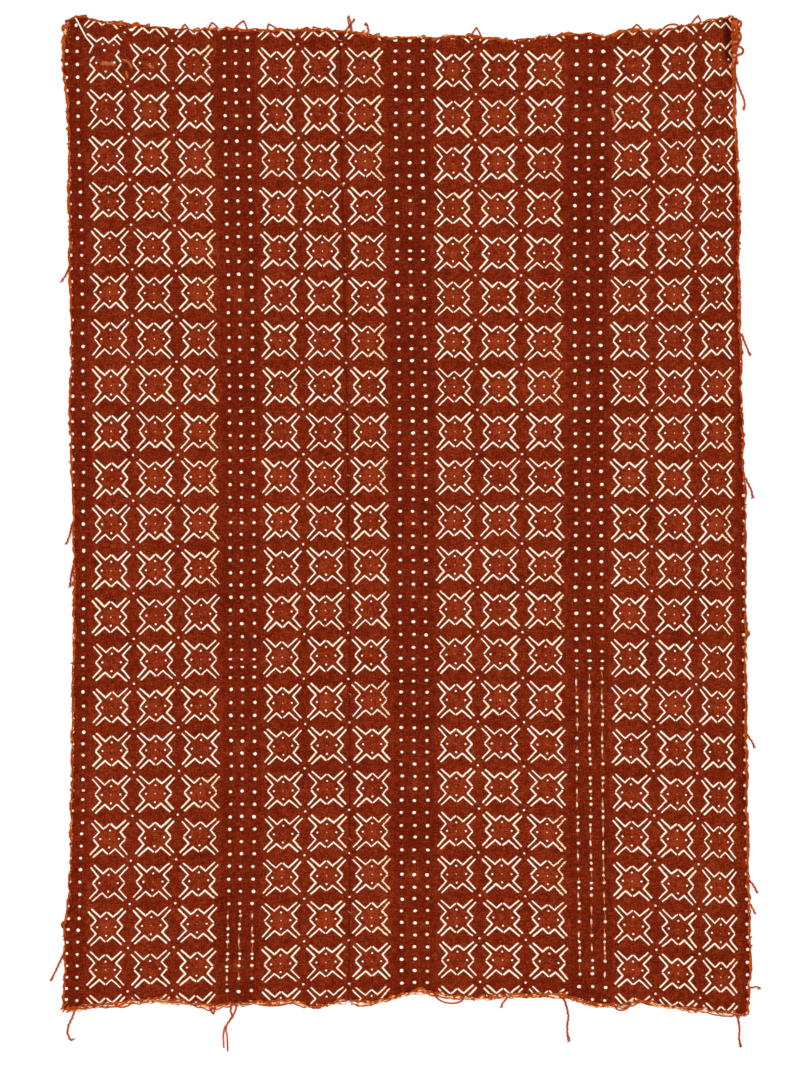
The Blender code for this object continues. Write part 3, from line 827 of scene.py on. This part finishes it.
def build_panel(outer, columns, rows):
    """One woven panel, from its selvedge to the seam."""
    mesh, across, down = unit_grid("cloth_" + outer, columns, rows)
    if outer == "right":
        across = 1.0 - across
    x, y = plan(outer, across, down)
    sign = SIDES[outer]
    x = x + sign * TUCK * np.clip(1.0 - across * columns, 0.0, 1.0)
    first, last = np.clip(1.0 - down * rows, 0.0, 1.0), np.clip(1.0 - (1.0 - down) * rows, 0.0, 1.0)
    y = y + TUCK * (first - last)
    side, top, bottom = side_at(outer, y), end_at(TOP_END, x), end_at(BOTTOM_END, x)
    x = x + sign * wander(outer, y) * np.clip(1.0 - np.abs(side - x) / DRIFT_FADE, 0.0, 1.0)
    y = y + wander("top", x) * np.clip(1.0 - (top - y) / DRIFT_FADE, 0.0, 1.0)
    y = y - wander("bottom", x) * np.clip(1.0 - (y - bottom) / DRIFT_FADE, 0.0, 1.0)
    z = height_at(x, y)
    shape_mesh(mesh, x, y, z)
    give_uv(mesh, "stars", *star_coordinates(x, y))
    give_uv(mesh, "dots", *dot_coordinates(x, y))
    give_uv(mesh, "weave", (x - side_at("seam", y)) * MM, y * MM)
    smooth(mesh)
    panel = show(mesh, painted, underside)
    solid = panel.modifiers.new("thickness", "SOLIDIFY")
    solid.thickness = THICKNESS * MM
    solid.offset = 1.0
    solid.material_offset = 1
    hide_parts("panel_" + outer)
    return panel, float(x.max() - x.min()), float(y.max() - y.min())


panels = {}
for outer, columns in (("left", 90), ("right", 130)):
    panels[outer], wide, tall = build_panel(outer, columns, round(PANEL_LENGTH / SPACING))
    faces = len(panels[outer].data.polygons)
    print(panels[outer].name, round(wide), "by", round(tall), "mm,", faces, "faces")


# %% [markdown]
# ## The rolled edges
# Raw ends roll up on themselves, and so do the selvedges below the top corners. A roll is the same
# unit grid bent into a flat tube along the edge, with a slow and a quick swelling so that it looks
# wound by hand. It is then welded along its length and closed at both ends.

# %% Rolls
ROLL_AROUND = 14
ROLL_STEP = 3.0
SWELLS = [(0.041, 0.16), (0.113, 0.16), (0.29, 0.15), (0.67, 0.12)]
Edge = namedtuple("Edge", "kind outer length yarns")
EDGES = {
    "rolled_end_top_left": Edge("top", "left", 420.0, 26),
    "rolled_end_top_right": Edge("top", "right", 605.0, 34),
    "rolled_end_bottom_left": Edge("bottom", "left", 420.0, 26),
    "rolled_end_bottom_right": Edge("bottom", "right", 605.0, 38),
    "selvedge_left": Edge("selvedge", "left", 1500.0, 46),
    "selvedge_right": Edge("selvedge", "right", 1500.0, 46),
}
ROLL_THICKNESS = 2.8
END_LEVEL = {"top": 775.0, "bottom": -725.0}
CORNER_INSET = 4.0
CORNER_GAP = 2.0
NEARBY = 0.001
WELD = 0.00002
FATNESS = {"top": (0.54, 1.0), "bottom": (0.44, 1.0), "selvedge": (0.38, 0.55)}
HEMS = {"top": top_hem, "bottom": bottom_hem, "selvedge": turned}


def swelling(t, seed):
    """A hand-made unevenness along a length in millimetres, around one."""
    total = 1.0
    for number, (rate, size) in enumerate(SWELLS):
        total = total + size * np.sin(t * rate * (1.0 + 0.13 * seed) + seed * 1.9 * number)
    return total


def end_path(outer, end, share):
    """Middle line, width and thickness of a rolled end at shares of its length."""
    table = TOP_END if end == "top" else BOTTOM_END
    sign = SIDES[outer]
    level = np.full_like(share, END_LEVEL[end])
    start = side_at("seam", level) - sign * 1.2
    stop = side_at(outer, level) - sign * 1.0
    x = start + (stop - start) * share
    inward = -1.0 if end == "top" else 1.0
    y = end_at(table, x) + inward * (ROLL_WIDTH * 0.5 - wander(end, x))
    return x, y, np.full_like(x, ROLL_WIDTH), np.full_like(x, ROLL_THICKNESS)


def selvedge_path(outer, share):
    """Middle line, width and thickness of a selvedge at shares of its length."""
    sign = SIDES[outer]
    corner = float(side_at(outer, 770.0))
    top = float(end_at(TOP_END, corner - sign * CORNER_INSET)) - CORNER_GAP
    low_corner = float(side_at(outer, END_LEVEL["bottom"]))
    foot = float(end_at(BOTTOM_END, low_corner - sign * CORNER_INSET)) + CORNER_GAP
    y = top + (foot - top) * share
    width = roll_at(outer, y, "width")
    x = side_at(outer, y) - sign * (width * 0.5 - 0.4 - wander(outer, y))
    return x, y, width, roll_at(outer, y, "thickness")


def edge_path(edge, share):
    """Middle line, width and thickness of any edge at shares of its length."""
    if edge.kind == "selvedge":
        return selvedge_path(edge.outer, share)
    return end_path(edge.outer, edge.kind, share)


def edge_frame(edge, share):
    """The same, with the direction square to the line."""
    near = edge_path(edge, np.clip(share + NEARBY, 0.0, 1.0))
    back = edge_path(edge, np.clip(share - NEARBY, 0.0, 1.0))
    run_x, run_y = near[0] - back[0], near[1] - back[1]
    size = np.hypot(run_x, run_y)
    return (*edge_path(edge, share), run_y / size, -run_x / size)


def build_roll(name, edge, seed):
    """A flat, lumpy tube along an edge."""
    mesh, around, along = unit_grid(name, ROLL_AROUND, round(edge.length / ROLL_STEP))
    x, y, width, thick, out_x, out_y = edge_frame(edge, along)
    fat, lumps = FATNESS[edge.kind]
    length = edge.length
    angle = around * 2.0 * np.pi
    swell = 1.0 + lumps * (swelling(along * length, seed) - 1.0)
    ends = np.sqrt(np.clip(np.minimum(along, 1.0 - along) * length / 2.5, 0.05, 1.0))
    fold = 1.0 + 0.10 * np.sin(3.0 * angle + along * length * 0.21)
    half = width * fat * swell * ends * fold
    rise = thick * 0.5 * (0.6 + 0.4 * swell) * ends
    floor = folds_at(x, y)
    z = floor + rise + rise * np.sin(angle) * fold
    side = half * np.cos(angle)
    shape_mesh(mesh, x + out_x * side, y + out_y * side, np.maximum(z, 0.05))
    give_uv(mesh, "weave", around * width * 2.4 * MM, along * length * MM)
    shape = bmesh.new()
    shape.from_mesh(mesh)
    bmesh.ops.remove_doubles(shape, verts=shape.verts, dist=WELD)
    rims = [line for line in shape.edges if line.is_boundary]
    bmesh.ops.holes_fill(shape, edges=rims)
    bmesh.ops.recalc_face_normals(shape, faces=shape.faces)
    shape.to_mesh(mesh)
    shape.free()
    smooth(mesh)
    roll = show(mesh, HEMS[edge.kind])
    return roll


edges = {}
for number, (name, edge) in enumerate(EDGES.items()):
    edges[name] = build_roll(name + "_cloth", edge, number + 1)
    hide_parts(name)
print("rolls:", ", ".join(sorted(edges)))


# %% [markdown]
# ## Yarns
# Every loose yarn is one spline of a curve with a round bevel: loops pulled out of the edges,
# yarns wound round the rolls, yarns that run slack beside them, short cut ends and the stitches of
# the seam. A finished curve becomes a mesh. A fixed seed makes the same fringe on every run.

# %% Yarns
YARN_RADIUS = 1.1
LOWEST = 1.25
SLACK_SPAN = (12.0, 45.0)
CURL_STEP = 2.2
rng = random.Random(17)


def yarn_curve(name, radius, *materials):
    """An empty curve whose splines become yarns."""
    curve = bpy.data.curves.new(name, "CURVE")
    curve.dimensions = "3D"
    curve.bevel_depth = radius * MM
    curve.bevel_resolution = 1
    curve.resolution_u = 4
    curve.use_fill_caps = True
    for material in materials:
        curve.materials.append(material)
    return curve


def yarn_piece(curve):
    """One mesh piece with all the yarns of a curve."""
    rough = put(curve.name, curve)
    made = rough.evaluated_get(bpy.context.evaluated_depsgraph_get())
    mesh = bpy.data.meshes.new_from_object(made)
    name = curve.name
    bpy.data.objects.remove(rough)
    bpy.data.curves.remove(curve)
    mesh.name = name
    smooth(mesh)
    piece = show(mesh)
    return piece


def add_yarn(curve, spots, thin=1.0, size=1.0, pale=0.0):
    """One yarn through spots in table millimetres, thinner at its end and now and then pale."""
    spline = curve.splines.new("NURBS")
    spline.points.add(len(spots) - 1)
    spline.order_u = 3
    spline.use_endpoint_u = True
    spline.material_index = 1 if rng.random() < pale else 0
    for number, (point, spot) in enumerate(zip(spline.points, spots)):
        point.co = (*place(*spot), 1.0)
        point.radius = size * (1.0 + (thin - 1.0) * number / (len(spots) - 1))


def edge_spot(edge, share):
    """A place on the outer line of an edge, with its outward direction."""
    x, y, width, _ = (float(values[0]) for values in edge_path(edge, np.array([share])))
    if edge.kind == "selvedge":
        sign = SIDES[edge.outer]
        return x + sign * width * 0.45, y, sign, 0.0
    way = 1.0 if edge.kind == "top" else -1.0
    return x, y + way * 1.3, 0.0, way


def add_loops(curve, edge, count, reach, spread):
    """Loops of yarn that have slipped out of an edge."""
    for _ in range(count):
        x, y, out_x, out_y = edge_spot(edge, rng.uniform(0.01, 0.99))
        far = rng.uniform(*reach)
        wide = rng.uniform(*spread)
        side_x, side_y = -out_y, out_x
        tip = rng.uniform(-0.4, 0.4)
        spots = []
        left, right = [(-0.5, -0.4), (-0.36, 0.4)], [(0.36, 0.4), (0.5, -0.4)]
        for t, out in left + [(tip - 0.05, 1.0), (tip + 0.05, 1.0)] + right:
            spots.append((
                x + side_x * t * wide + out_x * far * out,
                y + side_y * t * wide + out_y * far * out,
                LOWEST + 1.1 * max(0.0, 0.6 - out),
            ))
        add_yarn(curve, spots, size=0.95, pale=0.12)


def add_tufts(curve, edge, count, reach, pale=0.0):
    """Short cut ends that stick out of an edge."""
    for _ in range(count):
        x, y, out_x, out_y = edge_spot(edge, rng.uniform(0.005, 0.995))
        far = rng.uniform(*reach)
        bend = rng.uniform(-0.8, 0.8)
        side_x, side_y = -out_y, out_x
        spots = []
        for t in (0.0, 0.35, 0.7, 1.0):
            out, aside = far * t, bend * far * t * t
            at_x, at_y = x + out_x * out + side_x * aside, y + out_y * out + side_y * aside
            spots.append((at_x, at_y, 1.7 - 0.8 * t))
        add_yarn(curve, spots, 0.6, pale=pale)


def add_slack(curve, edge, count, reach, pale):
    """Yarns that run beside an edge and sag away from it."""
    for _ in range(count):
        span = rng.uniform(*SLACK_SPAN) / edge.length
        start = rng.uniform(0.01, 0.99 - span)
        far = rng.uniform(*reach)
        spots = []
        for number in range(8):
            t = number / 7.0
            x, y, out_x, out_y = edge_spot(edge, start + span * t)
            sag = math.sin(math.pi * t)
            out = far * sag**0.8 - 0.8 + rng.uniform(-0.5, 0.5)
            spots.append((x + out_x * out, y + out_y * out, LOWEST + 1.3 * (1.0 - sag)))
        add_yarn(curve, spots, pale=pale)


def add_fallen_weft(curve, outer, seed, pale):
    """The last yarn of the weft, slipped off the bottom end, so that the floor shows between."""
    sign = SIDES[outer]
    start, stop = side_at("seam", -715.0) + sign * 3.0, side_at(outer, -725.0) - sign * 5.0
    x = np.linspace(start, stop, round(abs(stop - start) / 5.0))
    out = 0.4 + 1.3 * np.sin(x * 0.047 + seed) + 1.0 * np.sin(x * 0.125 + 2.3 * seed)
    spots = []
    for a, b in zip(x, end_at(BOTTOM_END, x) - out):
        spots.append((a, b + rng.uniform(-2.1, 2.1), LOWEST + rng.uniform(0.1, 1.0)))
    add_yarn(curve, spots, size=0.95, pale=pale)


def add_tangle(curve, middle, size, count, height):
    """Yarns curled up in a heap, as at a corner; each turns back where the heap ends."""
    for _ in range(count):
        x = middle[0] + rng.uniform(-0.5, 0.5) * size[0]
        y = middle[1] + rng.uniform(-0.5, 0.5) * size[1]
        way = rng.uniform(0.0, 2.0 * math.pi)
        bend = rng.uniform(-0.9, 0.9)
        z = rng.uniform(1.0, height)
        spots = []
        for _ in range(rng.randint(4, 7)):
            spots.append((x, y, z))
            x += CURL_STEP * math.cos(way)
            y += CURL_STEP * math.sin(way)
            outside = abs(x - middle[0]) > size[0] * rng.uniform(0.35, 0.65)
            way += bend + (math.pi * 0.8 if outside else 0.0)
            z = max(LOWEST, z + rng.uniform(-0.8, 0.8))
        add_yarn(curve, spots, pale=0.1)


def add_winding(curve, edge, turn_length, seed):
    """A yarn wound round a roll in uneven turns."""
    steps = round(edge.length / CURL_STEP)
    share = (np.arange(steps) + 0.5) / steps
    x, y, width, thick, out_x, out_y = edge_frame(edge, share)
    t = share * edge.length
    angle = t * 2.0 * np.pi / turn_length + 1.6 * np.sin(t * 0.05 + seed) + seed
    grow = 0.6 + 0.45 * swelling(t, seed)
    side = (width * 0.5 * grow) * np.cos(angle)
    z = folds_at(x, y) + thick * 0.5 * grow * (1.0 + np.sin(angle)) + 0.1
    spots = zip(x + out_x * side, y + out_y * side, np.maximum(z, LOWEST))
    add_yarn(curve, list(spots))


fringes = {}
for number, (name, edge) in enumerate(EDGES.items()):
    curve = yarn_curve(name + "_yarns", YARN_RADIUS, yarn, golden_yarn)
    if edge.kind == "selvedge":
        add_loops(curve, edge, edge.yarns // 2, (1.0, 2.4), (4.0, 9.0))
        add_slack(curve, edge, edge.yarns, (0.6, 2.0), 0.05)
    else:
        add_loops(curve, edge, edge.yarns // 3, (1.8, 4.5), (6.0, 16.0))
        add_slack(curve, edge, edge.yarns, (1.0, 3.6), 0.25 if edge.kind == "top" else 0.45)
    add_tufts(curve, edge, edge.yarns // 2, (1.2, 3.8))
    for seed in (0.4, 3.1):
        add_winding(curve, edge, 21.0 + 6.0 * seed, number + seed)
    if edge.kind == "bottom":
        add_tufts(curve, edge, edge.yarns * 2, (1.5, 4.5), 0.5)
        add_fallen_weft(curve, edge.outer, 1.0 + number, 0.0)
        add_fallen_weft(curve, edge.outer, 3.7 + number, 1.0)
    fringes[name] = curve
print("fringe yarns:", sum(len(curve.splines) for curve in fringes.values()))


# %% [markdown]
# ## Threads and loops that can be told apart
# The longest threads and widest loops of the fringe are laid one by one where they lie on the real
# cloth. A thread of two plies is two yarns twisted round each other, with the tip splayed.

# %% Long threads and wide loops
Thread = namedtuple("Thread", "edge plies way")
THREADS = [Thread(*row) for row in (
    ("top_right", 1, ((-74, 760), (-75, 767), (-78, 774), (-80, 784), (-78, 788))),
    ("top_right", 1, ((-73, 761), (-74, 771), (-75, 777), (-77, 783), (-78, 788))),
    ("top_right", 2, ((-85, 761), (-77, 772), (-73, 777), (-69, 782))),
    ("top_right", 2, ((-50, 756), (-48, 765), (-50, 773), (-54, 773), (-51, 776))),
    ("top_right", 1, ((-61, 758), (-57, 763), (-54, 765))),
    ("left", 2, ((-502, 407), (-508, 393), (-515, 383))),
    ("left", 2, ((-498, 16), (-502, -2), (-508, -17))),
    ("left", 2, ((-497, -49), (-500, -64), (-502, -81))),
    ("left", 2, ((-510, -636), (-520, -657), (-531, -680))),
    ("left", 1, ((-505, -712), (-511, -719), (-516, -724))),
    ("left", 1, ((-502, -717), (-508, -722), (-513, -727))),
    ("bottom_left", 2, ((-493, -720), (-498, -735), (-504, -747), (-506, -758), (-503, -767),
     (-499, -771), (-496, -768))),
    ("bottom_left", 1, ((-256, -716), (-258, -726), (-255, -733), (-260, -742), (-267, -751),
     (-269, -764), (-268, -782))),
    ("bottom_left", 1, ((-248, -716), (-251, -727), (-255, -736), (-263, -745), (-265, -754),
     (-263, -762), (-262, -787))),
    ("bottom_right", 2, ((163, -705), (155, -715), (154, -721))),
    ("bottom_right", 2, ((240, -701), (250, -709), (254, -723), (256, -735), (254, -747),
     (254, -759), (257, -772))),
    ("bottom_right", 2, ((507, -724), (514, -738), (516, -753), (515, -767), (518, -781))),
    ("right", 2, ((508, 703), (513, 685), (518, 671), (523, 659), (524, 652), (522, 644))),
    ("right", 2, ((519, 304), (525, 288), (532, 271))),
    ("right", 2, ((525, 84), (534, 66), (536, 54))),
    ("right", 2, ((526, -303), (536, -318), (539, -326))),
    ("right", 2, ((531, -527), (538, -536), (543, -546))),
    ("right", 2, ((532, -563), (537, -572), (540, -578))),
    ("right", 2, ((531, -691), (540, -689), (547, -690), (546, -693))),
)]
Loop = namedtuple("Loop", "edge along reach width lean")
LOOPS = [Loop(*row) for row in (
    ("top_left", -327, 8, 12, 0), ("top_left", -284, 10, 17, -2), ("top_left", -242, 13, 21, 4),
    ("top_left", -193, 10, 20, -7), ("top_right", 116, 14, 17, 0), ("top_right", 360, 9, 18, 0),
    ("top_right", 412, 6, 26, -2), ("top_right", 450, 12, 17, 3), ("right", 775, 3.5, 10, 0),
    ("right", 755, 2.5, 14, 0), ("right", 734, 8, 14, 0), ("left", 768, 2, 9, 0),
    ("left", -595, 5, 11, 0), ("right", -152, 5, 9, 0), ("bottom_left", -421, 5, 26, 0),
    ("bottom_left", -285, 9, 9, 1), ("bottom_left", -195, 4, 50, 0),
    ("bottom_right", 75, 10, 46, 0), ("bottom_right", 338, 6, 24, 0),
)]
ROUND_FROM = 22
ROUND_LOOP = [
    (-0.5, -0.3), (-0.46, 0.3), (-0.25, 0.85), (0.0, 1.0), (0.25, 0.85), (0.46, 0.3), (0.5, -0.3),
]
PLY = 0.7
PLY_SIZE = {1: 1.25, 2: 1.1}
TWIST = 7.0
SPLAY_FROM = 0.85


def along_way(way, step):
    """Places at even steps along a way of straight stretches."""
    runs = [math.dist(one, other) for one, other in zip(way, way[1:])]
    marks = np.concatenate([[0.0], np.cumsum(runs)])
    at = np.linspace(0.0, marks[-1], max(6, round(marks[-1] / step)))
    x, y = (np.interp(at, marks, values) for values in zip(*way))
    return at, x, y


def add_thread(curve, thread):
    """One ply, or two twisted together with the tip splayed."""
    at, x, y = along_way(thread.way, 1.3 if thread.plies == 2 else 3.0)
    lean = rng.uniform(0.0, 6.0)
    share = at / at[-1]
    x, y = x + 0.5 * np.sin(at * 0.9 + lean), y + 0.5 * np.cos(at * 0.7 + lean)
    for ply in range(thread.plies):
        turn = at * 2.0 * math.pi / TWIST + ply * math.pi + lean
        splay = np.clip((share - SPLAY_FROM) / (1.0 - SPLAY_FROM), 0.0, 1.0)
        apart = (thread.plies - 1) * PLY * (1.0 + 2.2 * splay)
        lifted = 1.3 * np.clip(1.0 - share * 6.0, 0.0, 1.0)
        rest = YARN_RADIUS * PLY_SIZE[thread.plies] + 0.15 + lifted
        height = rest + (thread.plies - 1) * PLY * (1.0 + np.sin(turn))
        spots = zip(x + apart * np.cos(turn), y + 0.3 * apart * np.cos(turn), height)
        add_yarn(curve, list(spots), 0.8, PLY_SIZE[thread.plies])


def add_big_loop(curve, loop):
    """A loop of yarn at a known place: round at the sides or when wide, and pointed otherwise."""
    tip = loop.lean / loop.width
    shape = [
        (-0.5, -0.3), (-0.44, 0.15), (tip * 0.6 - 0.18, 0.72), (tip, 1.0), (tip, 1.02),
        (tip * 0.6 + 0.18, 0.72), (0.44, 0.15), (0.5, -0.3),
    ]
    at_side = loop.edge in SIDES
    if at_side or loop.width > ROUND_FROM:
        shape = ROUND_LOOP
    spots = []
    for t, out in shape:
        aside = loop.along + t * loop.width
        if at_side:
            sign = SIDES[loop.edge]
            x, y = float(side_at(loop.edge, float(loop.along))) + sign * out * loop.reach, aside
        else:
            table, way = (TOP_END, 1.0) if loop.edge.startswith("top") else (BOTTOM_END, -1.0)
            x, y = aside, float(end_at(table, aside)) + way * out * loop.reach
        spots.append((x, y, 1.8 if out > 0 else 2.2))
    add_yarn(curve, spots, size=1.5 if at_side else 1.15)


def fringe_of(edge):
    """The curve that holds the yarns of an edge."""
    return fringes[("selvedge_" if edge in SIDES else "rolled_end_") + edge]


add_tangle(fringe_of("left"), (-506.0, 766.0), (7.0, 24.0), 10, 4.6)
add_tangle(fringe_of("right"), (508.0, 748.0), (9.0, 62.0), 16, 5.2)
for thread in THREADS:
    add_thread(fringe_of(thread.edge), thread)
for loop in LOOPS:
    add_big_loop(fringe_of(loop.edge), loop)
fringes = {name: yarn_piece(curve) for name, curve in fringes.items()}
print(len(THREADS), "threads and", len(LOOPS), "big loops")

# %% [markdown]
# ## The seam
# The two panels are overcast together from end to end. Most stitches are brown like the cloth, and
# a few pale ones show where the dye did not take.

# %% Stitches
STITCH_STEP = 8.5
STITCH_REACH = 2.6
STITCH_RADIUS = 0.34
STITCH_SINK = 0.5
STITCH_RISE = 0.25
SEAM_TOP = 750.0
SEAM_LENGTH = 1470


def add_stitches(name, material, chosen):
    """The stitches whose numbers are chosen, as one piece."""
    curve = yarn_curve(name, STITCH_RADIUS, material)
    for number in range(round(SEAM_LENGTH / STITCH_STEP)):
        if not chosen(number):
            continue
        y = SEAM_TOP - number * STITCH_STEP + rng.uniform(-1.5, 1.5)
        x = float(side_at("seam", y))
        reach = STITCH_REACH + rng.uniform(-0.7, 0.7)
        slant = rng.uniform(0.6, 2.6)
        face = float(height_at(np.array([x]), np.array([y]))[0]) + THICKNESS
        low, high = face - STITCH_SINK, face + STITCH_RISE
        add_yarn(curve, [
            (x - reach, y + slant, low), (x - reach * 0.7, y + slant * 0.7, high),
            (x, y, high + 0.1),
            (x + reach * 0.7, y - slant * 0.7, high), (x + reach, y - slant, low),
        ])
    print(name, len(curve.splines))
    return yarn_piece(curve)


def is_pale(number):
    """Whether a stitch is one of the few pale ones, in no order that the eye can see."""
    return (number * 7919) % 13 == 0


stitches = [
    add_stitches("seam_stitches", stitch_dark, lambda n: not is_pale(n)),
    add_stitches("seam_stitches_pale", stitch_light, is_pale),
]

# %% [markdown]
# ## The pieces of each panel
# The rolled edges and their yarns are gathered by side, and the seam stitches are counted with the
# right panel.

# %% Pieces by side
on_left, on_right = (
    [thing for name in edges if name.endswith(outer) for thing in (edges[name], fringes[name])]
    for outer in SIDES
)
on_right + stitches
print("on the left panel:", len(on_left), "pieces; on the right:", len(on_right) + len(stitches))

# %% [markdown]
# ## Studio
# The cloth lies on a white floor under a white sky, with one broad lamp from the upper left that
# brings out the folds. The floor glows a little, so that it stays white inside the loops of yarn.
# The camera looks straight down on the middle of the picture.

# %% Floor, light and camera
LENS = 85.0
SENSOR = 36.0
FLOOR_WHITE = (0.9, 0.9, 0.9, 1.0)
FLOOR_GLOW = 0.22
FLOOR_SIZE = 60.0
SKY_LIGHT = 0.74
LAMP_STRENGTH = 1.5
LAMP_SPREAD = 0.5
LAMP_FROM = (-0.5, 0.55, 1.0)
WHITE = (1.0, 1.0, 1.0, 1.0)

floor_mesh = grid_mesh("floor", 1, 1, FLOOR_SIZE)
floor_finish, floor_shader, _ = start_finish("floor_white", roughness=0.9, gloss=0.1)
floor_shader.inputs["Base Color"].default_value = FLOOR_WHITE
floor_shader.inputs["Emission Color"].default_value = WHITE
floor_shader.inputs["Emission Strength"].default_value = FLOOR_GLOW
floor_mesh.materials.append(floor_finish)
floor = put("floor", floor_mesh)

world = bpy.data.worlds.new("studio")
world.use_nodes = True
sky = world.node_tree.nodes["Background"]
sky.inputs["Color"].default_value = WHITE
sky.inputs["Strength"].default_value = SKY_LIGHT
bpy.context.scene.world = world

lamp = bpy.data.lights.new("key", "SUN")
lamp.energy = LAMP_STRENGTH
lamp.angle = LAMP_SPREAD
key = put("key", lamp)
key.rotation_euler = Vector(LAMP_FROM).to_track_quat("Z", "Y").to_euler()

lens = bpy.data.cameras.new("camera")
lens.lens = LENS
lens.sensor_width = SENSOR
camera = put("camera", lens)
camera.location = place(0.0, 0.0, THICKNESS + PICTURE_HEIGHT * LENS / SENSOR)
bpy.context.scene.camera = camera
bpy.context.scene.view_settings.view_transform = "Standard"
print("camera height:", round(camera.location.z, 3), "m")

# %% [markdown]
# ## The end
# The folds and the loose yarns make the dressed cloth a little taller than the plain model. The
# last cell brings the scene up to date.

# %% The end
bpy.context.view_layer.update()
